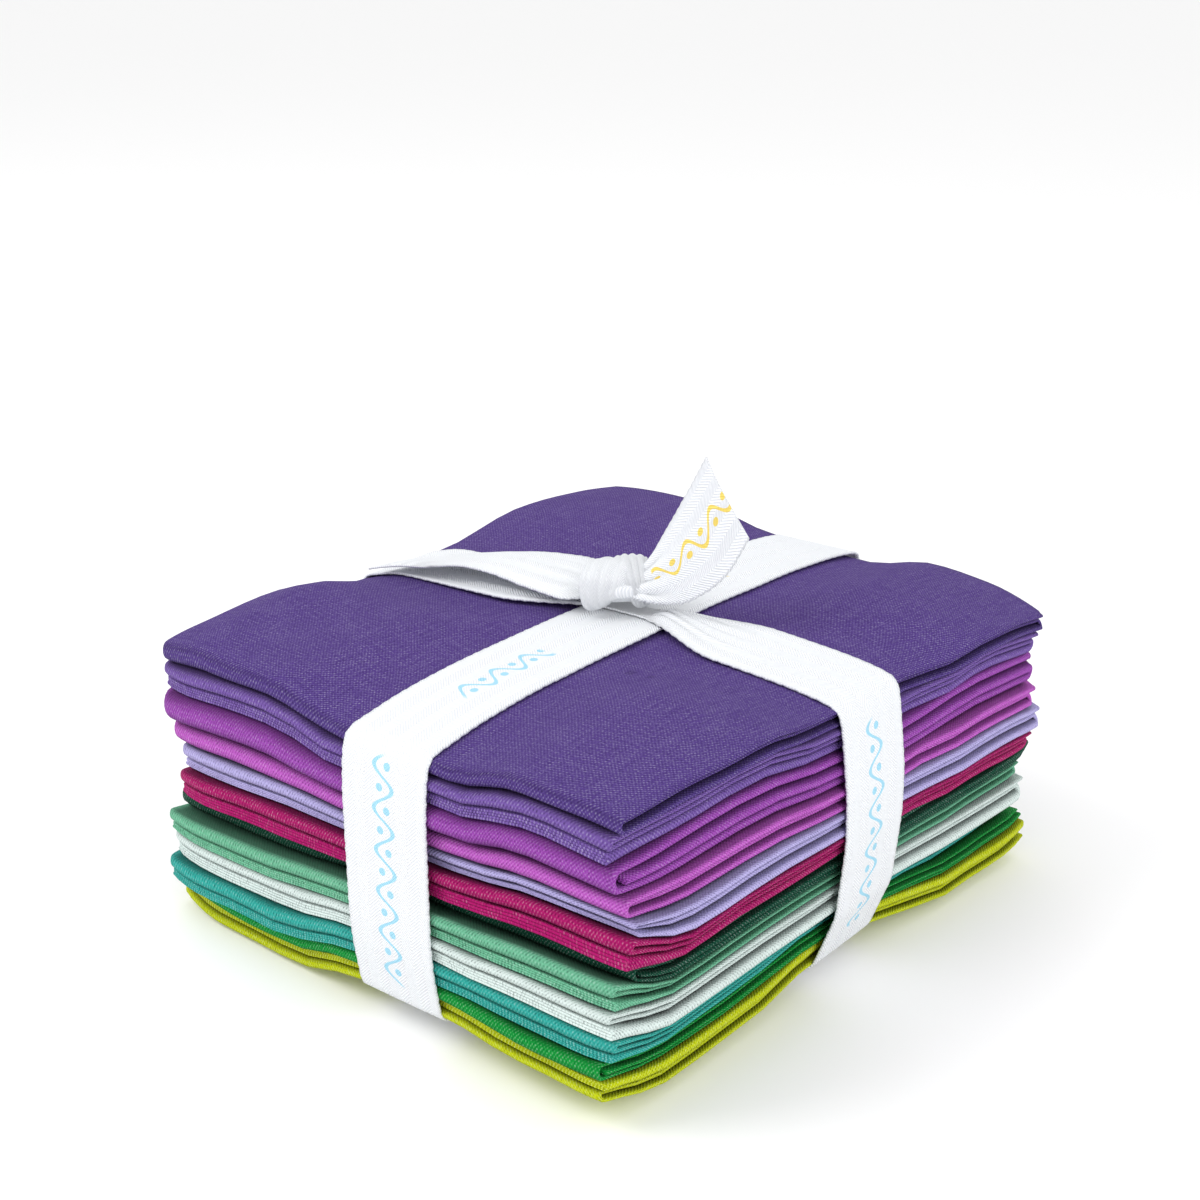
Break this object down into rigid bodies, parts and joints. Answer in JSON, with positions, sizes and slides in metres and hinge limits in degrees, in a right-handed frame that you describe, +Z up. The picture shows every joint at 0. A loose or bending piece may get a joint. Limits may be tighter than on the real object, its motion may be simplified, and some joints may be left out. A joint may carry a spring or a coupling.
{
  "type": "fat quarter bundle",
  "caption": "Stack of folded solid-colour cotton quarters, bound crosswise with a twill ribbon and a knot with free ends.",
  "frame": {"origin": "middle of the footprint, at the height of the surface that the bundle rests on", "axes": "+Z up through the stack, +X towards the ends where the layers nest, -Y towards the front with the folded edges"},
  "size_m": [0.1414, 0.1616, 0.104],
  "materials": {
    "dark_purple_cotton": "matt plain weave",
    "mid_purple_cotton": "matt plain weave",
    "orchid_violet_cotton": "matt plain weave",
    "orchid_pink_cotton": "matt plain weave",
    "lavender_cotton": "matt plain weave",
    "raspberry_cotton": "matt plain weave",
    "dark_green_cotton": "matt plain weave",
    "sea_foam_cotton": "matt plain weave",
    "mint_white_cotton": "matt plain weave",
    "teal_cotton": "matt plain weave",
    "green_cotton": "matt plain weave",
    "lime_cotton": "matt plain weave",
    "white_twill": "matt twill"
  },
  "bodies": {
    "root": {"cloth_01_dark_purple": "dark_purple_cotton", "cloth_02_mid_purple": "mid_purple_cotton", "cloth_03_orchid_violet": "orchid_violet_cotton", "cloth_04_orchid_pink": "orchid_pink_cotton", "cloth_05_lavender": "lavender_cotton", "cloth_06_raspberry": "raspberry_cotton", "cloth_07_dark_green": "dark_green_cotton", "cloth_08_sea_foam": "sea_foam_cotton", "cloth_09_mint_white": "mint_white_cotton", "cloth_10_teal": "teal_cotton", "cloth_11_green": "green_cotton", "cloth_12_lime": "lime_cotton", "lengthwise_band": "white_twill", "crosswise_band": "white_twill", "knot": "white_twill", "standing_end": "white_twill", "lying_end": "white_twill"}
  },
  "joints": []
}
